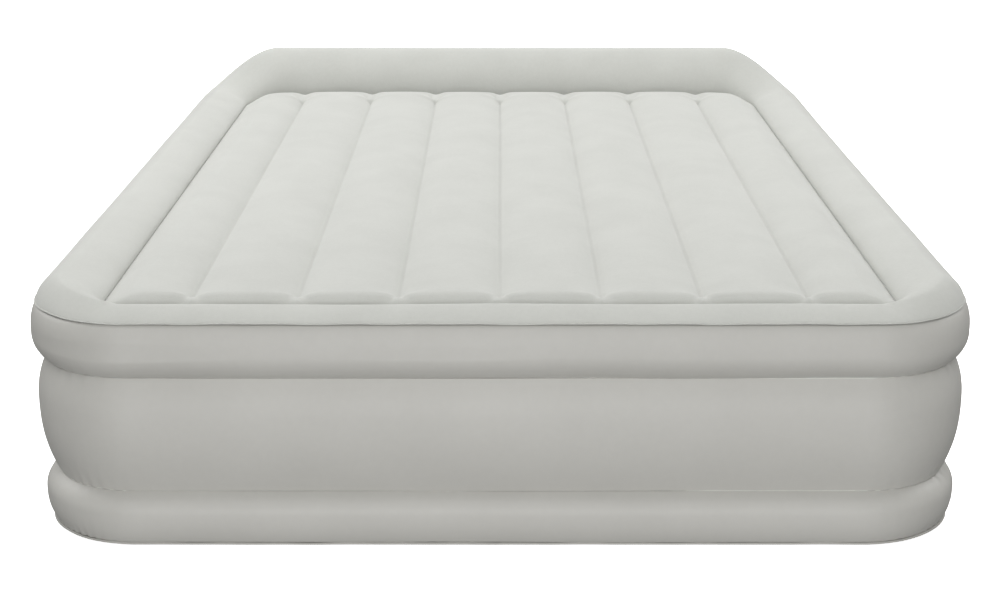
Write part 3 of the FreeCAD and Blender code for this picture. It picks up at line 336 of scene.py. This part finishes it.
def make_surround(material):
    """The border and bolster, one flocked skin from the top weld in to the sleeping deck.

    Across each station the skin rises along a superellipse quarter to a crest and falls
    along another to the deck's seam; crest height and place change from foot to head."""
    inner = outline(DECK[1].x, DECK[0].y, DECK[1].y, *DECK_CORNERS)
    start = OUTER - NORMAL * TOP_SEAM[0]
    width = np.linalg.norm(inner - start, axis=1)
    across = (inner - start) / width[:, None]
    slimmer = np.where(SEGMENT == SIDE_R, np.sin(SHARE * math.pi) ** 0.5, 0)
    crest_run = by_end(foot=0.0405, side=0.056, head=0.065) + 0.002 * slimmer
    crest_z = by_end(foot=0.3945, side=0.4145, head=BOLSTER[1].z)
    crest_z = crest_z + uneven(seed=51, waves=(6, 11, 17), size=0.0008) * (1 - HEAD_WEIGHT)
    outer_power = by_end(foot=1.4, side=1.64, head=2.2) - 0.14 * slimmer
    inner_power = by_end(foot=2.2, side=1.8, head=1.95)
    out_turn = np.linspace(0, TAU / 4, 24)[:, None]
    in_turn = np.linspace(TAU / 4, 0, 30)[1:, None]
    run, rise = quarter(out_turn, outer_power[None])
    out_run = crest_run * run
    out_z = TOP_SEAM[1] + (crest_z - TOP_SEAM[1]) * rise
    run, rise = quarter(in_turn, inner_power[None])
    lean = HEAD_WEIGHT * 0.0015 * np.sin(rise * math.pi)
    in_run = crest_run + (width - crest_run) * (1 - run) + lean
    seam_z = DECK_SEAM_Z - EDGE_DIP
    in_z = seam_z + (crest_z - seam_z) * rise
    under_run, under_z = width + 0.006, np.full_like(width, seam_z - 0.003)
    lip_run = np.array([0.0010, -0.0022, -0.0030, -0.0024, -0.0006])[:, None]
    lip_z = TOP_SEAM[1] + np.array([-0.0002, -0.0002, 0.0003, 0.0008, 0.0008])[:, None]
    flutter = uneven(seed=52, waves=(23, 41, 67), size=0.0006)
    run = np.vstack([lip_run + 0 * width, out_run, in_run, under_run[None]])
    height = np.vstack([lip_z + flutter, out_z, in_z, under_z[None]])
    past_lip = height[len(lip_run):]
    past_lip += gathers(past_lip, TOP_SEAM[1], reach=0.007, pitch=0.024, depth=0.0007, seed=55,
                        straight=0.25)
    points = np.concatenate([(start + across * run[..., None]), height[..., None]], axis=-1)
    piece = make_mesh("flocked_surround", points, grid_quads(len(points), len(OUTER), True))
    return dress(piece, material, ["flocked_border", "head_bolster"])


def membrane(x_lines, y_lines, held, pressure):
    """Height of a film blown up over a grid and held where held is true.

    Solves d2h/dx2 + d2h/dy2 = -pressure by over-relaxed sweeps over alternate points."""
    dx, dy = np.diff(x_lines).mean(), np.diff(y_lines).mean()
    height = np.zeros(held.shape)
    r, c = np.indices(held.shape)
    inner = (r > 0) & (r < held.shape[0] - 1) & (c > 0) & (c < held.shape[1] - 1) & ~held
    sets = [np.nonzero(inner & ((r + c) % 2 == k)) for k in (0, 1)]
    wx, wy = 1 / dx ** 2, 1 / dy ** 2
    over, sweeps = 1.93, 420
    for _ in range(sweeps):
        for rows, columns in sets:
            pull = (wx * (height[rows, columns - 1] + height[rows, columns + 1])
                    + wy * (height[rows - 1, columns] + height[rows + 1, columns]) + pressure)
            old = height[rows, columns]
            height[rows, columns] = old + over * (pull / (2 * (wx + wy)) - old)
    return height


def rounded_corners(x, y, half, low, high, low_corner, high_corner):
    """Moves the grid's square corners onto arcs. In the square that a corner fills, with a and
    b from 0 to 1 outwards, a becomes a (1 - b^2 / 2)^0.5 and b becomes b (1 - a^2 / 2)^0.5."""
    centre = (low + high) / 2
    for end, corner in ((low, low_corner), (high, high_corner)):
        sign = 1 if end > centre else -1
        a = np.clip((np.abs(x) - (half - corner)) / corner, 0, None)
        b = np.clip((y - end) * sign / corner + 1, 0, None)
        inside = (a > 0) & (b > 0)
        new_a, new_b = a * np.sqrt(1 - b * b / 2), b * np.sqrt(1 - a * a / 2)
        x = np.where(inside, np.sign(x) * (half - corner + corner * new_a), x)
        y = np.where(inside, end + sign * corner * (new_b - 1), y)
    return x, y


DECK_ROWS, CHANNEL_COLUMNS = 290, 32
# folds that fan out from a beam's end: depth, reach, and how the pull falls off with distance
FOLD_DEPTH, FOLD_RISE, FOLD_REACH, FOLD_POWER = 0.0042, 0.018, 0.022, 1.3
DIMPLE_DEPTH, DIMPLE_REACH = 0.0012, 0.013
FURROW_DEPTH, FURROW_HALF_WIDTH = 0.0065, 0.016
SLACK = 0.0004
EDGE_RUN_ENDS, EDGE_RUN_SIDES = 0.026, 0.060


def make_deck(material):
    """The sleeping deck: a film blown up between its edge weld and seven beam welds.

    The membrane's height is raised to a power below 1, which fills the channels' shoulders;
    the power is lowest near the foot and about 1 at the side welds. Each beam end draws a fan
    of folds and a dimple, and from the head ends a furrow runs on to the head weld."""
    half, low, high = DECK[1].x, DECK[0].y, DECK[1].y
    stops = [-half] + VALLEY_X + [half]
    spans = [np.linspace(a, b, CHANNEL_COLUMNS + 1)[:-1] for a, b in zip(stops, stops[1:])]
    x_lines = np.concatenate(spans + [[half]])
    y_lines = np.linspace(low, high, DECK_ROWS)
    x, y = np.meshgrid(x_lines, y_lines)
    on_beam = (np.arange(len(x_lines)) % CHANNEL_COLUMNS == 0)[None]
    held = on_beam & (y > VALLEY_ENDS[0]) & (y < VALLEY_ENDS[1])
    widest = max(b - a for a, b in zip(stops, stops[1:]))
    height = membrane(x_lines, y_lines, held, 8 * CHANNEL_RISE / widest ** 2)
    to_side, to_end = half - np.abs(x), np.minimum(y - low, high - y)
    near_foot, near_side = smoothstep(0.075, 0.015, y - low), smoothstep(0.07, 0, to_side)
    steep = 0.80 - 0.26 * near_foot + 0.25 * near_side
    height = CHANNEL_RISE * (np.maximum(height, 0) / CHANNEL_RISE) ** steep
    rng = np.random.default_rng(61)
    for valley in VALLEY_X:
        for end in VALLEY_ENDS:
            away = np.hypot(x - valley, y - end)
            angle = np.arctan2(y - end, x - valley)
            toward = -1 if end < 0 else 1
            fan = smoothstep(-0.6, 0.3, toward * np.sin(angle))
            folds = np.cos((angle - toward * TAU / 4) * 4 + rng.uniform(-0.5, 0.5)) * fan
            fall = away / FOLD_RISE * np.exp(-(away / FOLD_REACH) ** FOLD_POWER)
            height += FOLD_DEPTH * folds * fall
            height -= DIMPLE_DEPTH * np.exp(-(away / DIMPLE_REACH) ** 2)
        past = smoothstep(VALLEY_ENDS[1] - 0.01, VALLEY_ENDS[1] + 0.02, y)
        height -= FURROW_DEPTH * past * np.exp(-((x - valley) / FURROW_HALF_WIDTH) ** 2)
    slack = np.sin(x / 0.11 + 1.3) * np.sin(y / 0.17 + 0.4) * SLACK
    height = height + slack * smoothstep(0, 0.05, np.minimum(to_side, to_end))
    reach = np.minimum(smoothstep(0, EDGE_RUN_ENDS, to_end), smoothstep(0, EDGE_RUN_SIDES, to_side))
    height -= EDGE_DIP * (1 - reach)
    x, y = rounded_corners(x, y, half, low, high, *DECK_CORNERS)
    points = np.stack([x, y, DECK_SEAM_Z + height], axis=-1)
    piece = make_mesh("flocked_deck", points, grid_quads(*x.shape, False))
    return dress(piece, material, ["sleep_deck"])


# ---------------------------------------------------------------- check valve spring

SPRING_TURNS, SPRING_WIRE = 5, 0.0005
ROWS_A_TURN, WIRE_SIDES = 28, 10


def make_valve_spring(material):
    """The check valve's return spring, which shortens as the poppet lifts.

    A round wire along a helix: for an angle t the wire's middle is at (R cos t, p t, R sin t)."""
    low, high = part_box("valve_spring")
    middle_x, middle_z = (low.x + high.x) / 2, (low.z + high.z) / 2
    coil = (high.x - low.x) / 2 - SPRING_WIRE
    run = high.y - low.y - SPRING_WIRE * 2
    turn = np.linspace(0, SPRING_TURNS * TAU, SPRING_TURNS * ROWS_A_TURN)[:, None]
    around = np.linspace(0, TAU, WIRE_SIDES, endpoint=False)[None]
    reach = coil + SPRING_WIRE * np.cos(around)
    y = low.y + SPRING_WIRE + run * turn / turn[-1] + SPRING_WIRE * np.sin(around)
    points = np.stack([middle_x + reach * np.cos(turn), y, middle_z + reach * np.sin(turn)], -1)
    first = np.arange(WIRE_SIDES)
    last = first + (len(turn) - 1) * WIRE_SIDES
    piece = make_mesh("return_spring", points, grid_quads(len(turn), WIRE_SIDES, True),
                      [first[::-1], last])
    piece.data.materials.append(material)
    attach(piece, ROOT)
    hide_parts("valve_spring")
    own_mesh(piece)
    return piece


# ---------------------------------------------------------------- material helpers


def to_linear(colour):
    """An sRGB hex colour as linear RGBA."""
    parts = np.array([int(colour[k:k + 2], 16) for k in (1, 3, 5)]) / 255
    linear = np.where(parts <= 0.04045, parts / 12.92, ((parts + 0.055) / 1.055) ** 2.4)
    return (*linear.tolist(), 1.0)


def new_material(name):
    material = bpy.data.materials.new(name)
    material.use_nodes = True
    material.node_tree.nodes.clear()
    return material, material.node_tree


def add(tree, kind, sockets=None, **settings):
    """A node with its settings; a socket's value is a number, a colour or another's output."""
    node = tree.nodes.new("ShaderNode" + kind)
    for name, value in settings.items():
        setattr(node, name, value)
    for name, value in (sockets or {}).items():
        if isinstance(value, bpy.types.NodeSocket):
            tree.links.new(value, node.inputs[name])
        else:
            node.inputs[name].default_value = value
    return node


def per_mm(size):
    """A pattern scale, in cycles a metre, from the size of one cycle in millimetres."""
    return 1000 / size


def mottled(tree, place, low, high, broad_mm, fine_mm, fine_share):
    """A colour that drifts between two near shades, broadly and, by fine_share, finely."""
    broad = add(tree, "TexNoise", {"Vector": place, "Scale": per_mm(broad_mm), "Detail": 3.0})
    fine = add(tree, "TexNoise", {"Vector": place, "Scale": per_mm(fine_mm), "Detail": 2.0})
    blend = add(tree, "Mix", {"Factor": fine_share, "A": broad.outputs["Fac"],
                              "B": fine.outputs["Fac"]}, data_type="FLOAT")
    spread = add(tree, "MapRange", {"Value": blend.outputs["Result"], "From Min": 0.35,
                                    "From Max": 0.65})
    # a Mix node's colour sockets are its seventh and eighth
    colour = tree.nodes.new("ShaderNodeMix")
    colour.data_type = "RGBA"
    tree.links.new(spread.outputs["Result"], colour.inputs["Factor"])
    colour.inputs[6].default_value, colour.inputs[7].default_value = (to_linear(low),
                                                                      to_linear(high))
    return colour.outputs[2]


def surface(name, low, high, broad_mm, fine_mm, fine_share, bump_mm, bump_depth_mm,
            roughness, rough_spread=0.04, **constant):
    """A finish in two near shades with a fine relief; constant holds the shader's own."""
    material, tree = new_material(name)
    place = add(tree, "TexCoord").outputs["Object"]
    colour = mottled(tree, place, low, high, broad_mm, fine_mm, fine_share)
    relief = add(tree, "TexNoise", {"Vector": place, "Scale": per_mm(bump_mm), "Detail": 2.0})
    bump = add(tree, "Bump", {"Height": relief.outputs["Fac"], "Strength": 1.0,
                              "Distance": bump_depth_mm / 1000})
    rough = add(tree, "MapRange", {"Value": relief.outputs["Fac"],
                                   "To Min": roughness - rough_spread,
                                   "To Max": roughness + rough_spread})
    shader = add(tree, "BsdfPrincipled", {"Base Color": colour,
                                          "Roughness": rough.outputs["Result"],
                                          "Normal": bump.outputs["Normal"]})
    for socket, value in constant.items():
        shader.inputs[socket.replace("_", " ")].default_value = value
    output = add(tree, "OutputMaterial")
    tree.links.new(shader.outputs["BSDF"], output.inputs["Surface"])
    return material


# ---------------------------------------------------------------- the finishes


def flocked_pvc():
    """PVC film flocked with short rayon pile: velvety, no gloss, lighter at grazing angles,
    with broad marks where the pile was brushed. Pile of 0.5 mm is drawn as 2 mm."""
    return surface("flocked_pvc_film", "#b7b8b3", "#bcbdb8", broad_mm=90, fine_mm=7,
                   fine_share=0.35, bump_mm=2.2, bump_depth_mm=0.28, roughness=0.95,
                   Specular_IOR_Level=0.2, Sheen_Weight=0.25, Sheen_Roughness=0.45)


def calendered_side_film():
    """Calendered PVC film, 0.4 mm, matt embossed: even colour and a broad satin sheen."""
    return surface("calendered_pvc_side_film", "#b6b5b0", "#bab9b4", broad_mm=160, fine_mm=12,
                   fine_share=0.3, bump_mm=1.6, bump_depth_mm=0.03, roughness=0.46,
                   Specular_IOR_Level=0.45)


def calendered_floor_film():
    """The heavier PVC sheet underneath, the same colour with a coarser grip emboss."""
    return surface("calendered_pvc_floor_film", "#aaa9a4", "#b1b0ab", broad_mm=120, fine_mm=9,
                   fine_share=0.4, bump_mm=3.0, bump_depth_mm=0.20, roughness=0.6,
                   Specular_IOR_Level=0.4)


def internal_film():
    """Natural PVC of the beams and diaphragms inside: translucent milky, slightly glossy."""
    return surface("internal_pvc_film", "#c9c8c0", "#d3d2ca", broad_mm=80, fine_mm=10,
                   fine_share=0.3, bump_mm=2.0, bump_depth_mm=0.05, roughness=0.35,
                   Specular_IOR_Level=0.5, Subsurface_Weight=0.1)


def soft_collar_vinyl():
    """Soft injection-moulded vinyl of the ring welded round the pump: rounded and satin."""
    return surface("moulded_soft_vinyl", "#7d7f80", "#868889", broad_mm=60, fine_mm=6,
                   fine_share=0.3, bump_mm=1.2, bump_depth_mm=0.05, roughness=0.42,
                   Specular_IOR_Level=0.5)


def spark_eroded_abs():
    """Injection-moulded ABS of the pump casing, spark-eroded texture, dark cool grey."""
    return surface("spark_eroded_abs", "#3d3f42", "#45474a", broad_mm=70, fine_mm=4, fine_share=0.4,
                   bump_mm=0.9, bump_depth_mm=0.09, roughness=0.5)


def fine_textured_abs():
    """Injection-moulded ABS of the dial and the cord door, light grey, from a finer tool face."""
    return surface("fine_textured_abs", "#a4a6a6", "#acaeae", broad_mm=50, fine_mm=3,
                   fine_share=0.35, bump_mm=0.8, bump_depth_mm=0.05, roughness=0.4)


def natural_polypropylene():
    """Unpainted moulded polypropylene of the ducts, impeller and tub: waxy and off-white."""
    return surface("moulded_polypropylene", "#b9bab4", "#c3c4be", broad_mm=45, fine_mm=5,
                   fine_share=0.4, bump_mm=1.1, bump_depth_mm=0.06, roughness=0.38,
                   Subsurface_Weight=0.08)


def moulded_rubber():
    """Compression-moulded nitrile rubber: nearly black, dull, faintly dusty."""
    return surface("moulded_nitrile_rubber", "#1d1d1e", "#272728", broad_mm=25, fine_mm=2,
                   fine_share=0.4, bump_mm=0.8, bump_depth_mm=0.08, roughness=0.7)


def zinc_plated_steel():
    """Bright zinc plate on turned or stamped steel: cool grey, fine spangle."""
    return surface("zinc_plated_steel", "#aab0b4", "#bcc1c4", broad_mm=12, fine_mm=1.5,
                   fine_share=0.5, bump_mm=0.6, bump_depth_mm=0.02, roughness=0.32, Metallic=1.0)


def laminated_core_steel():
    """Silicon-steel laminations under thin varnish: dark, brownish, not very bright."""
    return surface("varnished_core_steel", "#55524e", "#66625c", broad_mm=10, fine_mm=1,
                   fine_share=0.5, bump_mm=0.5, bump_depth_mm=0.04, roughness=0.5, Metallic=1.0)


def enamelled_copper():
    """Enamelled winding wire: orange brown with a glassy coat."""
    return surface("enamelled_copper_wire", "#a4562f", "#bb6a3c", broad_mm=6, fine_mm=0.9,
                   fine_share=0.5, bump_mm=0.8, bump_depth_mm=0.15, roughness=0.3, Metallic=1.0,
                   Coat_Weight=0.4)


def sintered_bronze():
    """Oil-filled sintered bronze of the bushes: porous, dull gold."""
    return surface("sintered_bronze", "#8c6f3e", "#a2834c", broad_mm=5, fine_mm=0.7, fine_share=0.5,
                   bump_mm=0.5, bump_depth_mm=0.06, roughness=0.5, Metallic=1.0)


def pressed_carbon():
    """Pressed electrographite of the brushes: grey black with a pencil-lead shine."""
    return surface("pressed_carbon_graphite", "#242526", "#333435", broad_mm=4, fine_mm=0.8,
                   fine_share=0.5, bump_mm=0.5, bump_depth_mm=0.04, roughness=0.4)


NODE_FINISHES = [
    (internal_film, ["upper_diaphragm", "lower_diaphragm"]
     + [f"sleep_beam_{n}" for n in range(1, 8)]
     + [f"{band}_beam_{n}" for band in ("waist", "base") for n in range(1, 6)]),
    (soft_collar_vinyl, ["pump_collar"]),
    (spark_eroded_abs, ["pump_face_plate", "cord_compartment", "switch_housing"]),
    (fine_textured_abs, ["flow_dial", "cord_door"]),
    (natural_polypropylene, ["pump_tub", "diverter_housing", "diverter_drum", "fan_housing",
                             "fan_back_plate", "impeller", "end_bracket", "valve_guide",
                             "valve_poppet"]),
    (moulded_rubber, ["tub_gasket", "cord_gland", "rocker_button"]),
    (zinc_plated_steel, ["plate_screws", "door_hinge_pin", "dial_spindle", "impeller_nut",
                         "rotor_shaft", "motor_screws", "stem_clip"]),
    (laminated_core_steel, ["rotor_core", "field_stack"]),
    (enamelled_copper, ["commutator", "field_coils"]),
    (sintered_bronze, ["front_bush", "rear_bush"]),
    (pressed_carbon, ["carbon_brushes"]),
]


def finish_nodes():
    """Puts its material on every CAD node that stays."""
    for maker, names in NODE_FINISHES:
        material = maker()
        for name in names:
            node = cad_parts[name]
            for slot in node.material_slots:
                slot.material = material
            if not node.material_slots:
                node.data.materials.append(material)


# ---------------------------------------------------------------- studio


def make_camera():
    """A camera in front of the foot, above it and looking down along the mattress."""
    pitch = math.radians(16.54)
    data = bpy.data.cameras.new("camera")
    data.lens, data.sensor_width = 65.8, 36.0
    data.clip_end = 100
    camera = bpy.data.objects.new("camera", data)
    camera.location = (0, -3.680, 1.211)
    camera.rotation_euler = (TAU / 4 - pitch, 0, 0)
    bpy.context.scene.collection.objects.link(camera)
    bpy.context.scene.camera = camera


def soft_box(name, place, aim, size, power):
    """A flat rectangular lamp at a place, turned to face a point; power in watts."""
    data = bpy.data.lights.new(name, "AREA")
    data.shape, data.size, data.size_y, data.energy = "RECTANGLE", *size, power
    light = bpy.data.objects.new(name, data)
    light.location = place
    light.rotation_euler = (Vector(aim) - Vector(place)).to_track_quat("-Z", "Y").to_euler()
    bpy.context.scene.collection.objects.link(light)


def make_light():
    """An even dome and large soft boxes: high all round, down the front, and under its floor."""
    world = bpy.data.worlds.new("studio")
    bpy.context.scene.world = world
    world.use_nodes = True
    sky = world.node_tree.nodes["Background"]
    sky.inputs["Color"].default_value = (1, 1, 1, 1)
    sky.inputs["Strength"].default_value = 0.20
    middle, head, foot = (0, 0, 0.3), (0, 0.6, 0.3), (0, -0.8, 0.2)
    soft_box("high_left", (-2.3, 0.2, 2.7), middle, (1.8, 3.4), 85)
    soft_box("high_right", (2.3, 0.2, 2.7), middle, (1.8, 3.4), 73)
    soft_box("high_behind", (0, 4.0, 3.0), head, (3.6, 1.6), 73)
    soft_box("high_front", (0, -4.0, 3.2), (0, -0.6, 0.2), (3.6, 1.6), 46)
    soft_box("front_middle", (0, -5.0, 1.3), foot, (4.0, 0.8), 20)
    soft_box("front_low", (0, -5.0, 0.5), foot, (3.6, 0.5), 42)
    soft_box("floor_bounce", (0, -4.0, -0.5), (0, -1.0, 0.2), (3.6, 0.4), 28)


def make_stage():
    """A pale floor that turns up into a wall all round, and throws nothing at the mattress."""
    material, tree = new_material("white_studio_floor")
    place = add(tree, "TexCoord").outputs["Object"]
    colour = mottled(tree, place, "#f6f6f6", "#fbfbfb", 900, 200, 0.3)
    shader = add(tree, "BsdfPrincipled", {"Base Color": colour, "Roughness": 0.9,
                                          "Specular IOR Level": 0.0,
                                          "Emission Color": (1, 1, 1, 1),
                                          "Emission Strength": 0.9})
    output = add(tree, "OutputMaterial")
    tree.links.new(shader.outputs["BSDF"], output.inputs["Surface"])
    hub, flat, bend, wall_top, spokes = 0.01, 18, 6, 14, 96
    turn = np.linspace(0, TAU / 4, 12)
    radius = np.concatenate([[hub], flat + bend * np.sin(turn), [flat + bend]])[:, None]
    height = np.concatenate([[0], bend * (1 - np.cos(turn)), [wall_top]])[:, None]
    way = np.linspace(0, TAU, spokes, endpoint=False)
    points = np.stack([radius * np.cos(way), radius * np.sin(way), height + 0 * way], axis=-1)
    floor = make_mesh("studio_floor", points, grid_quads(len(radius), spokes, True)[..., ::-1],
                      [np.arange(spokes)])
    floor.data.materials.append(material)
    floor.visible_diffuse = floor.visible_glossy = floor.visible_shadow = False


# ---------------------------------------------------------------- the mattress


make_camera()
make_light()
make_stage()
FLOCK, SIDE_FILM = flocked_pvc(), calendered_side_film()
make_surround(FLOCK)
make_deck(FLOCK)
make_upper_band(SIDE_FILM)
make_waist_band(SIDE_FILM)
make_base_band(SIDE_FILM)
make_floor_sheet(calendered_floor_film())
finish_nodes()
make_valve_spring(bpy.data.materials["zinc_plated_steel"])

bpy.context.scene.view_settings.view_transform = "Standard"
bpy.context.view_layer.update()
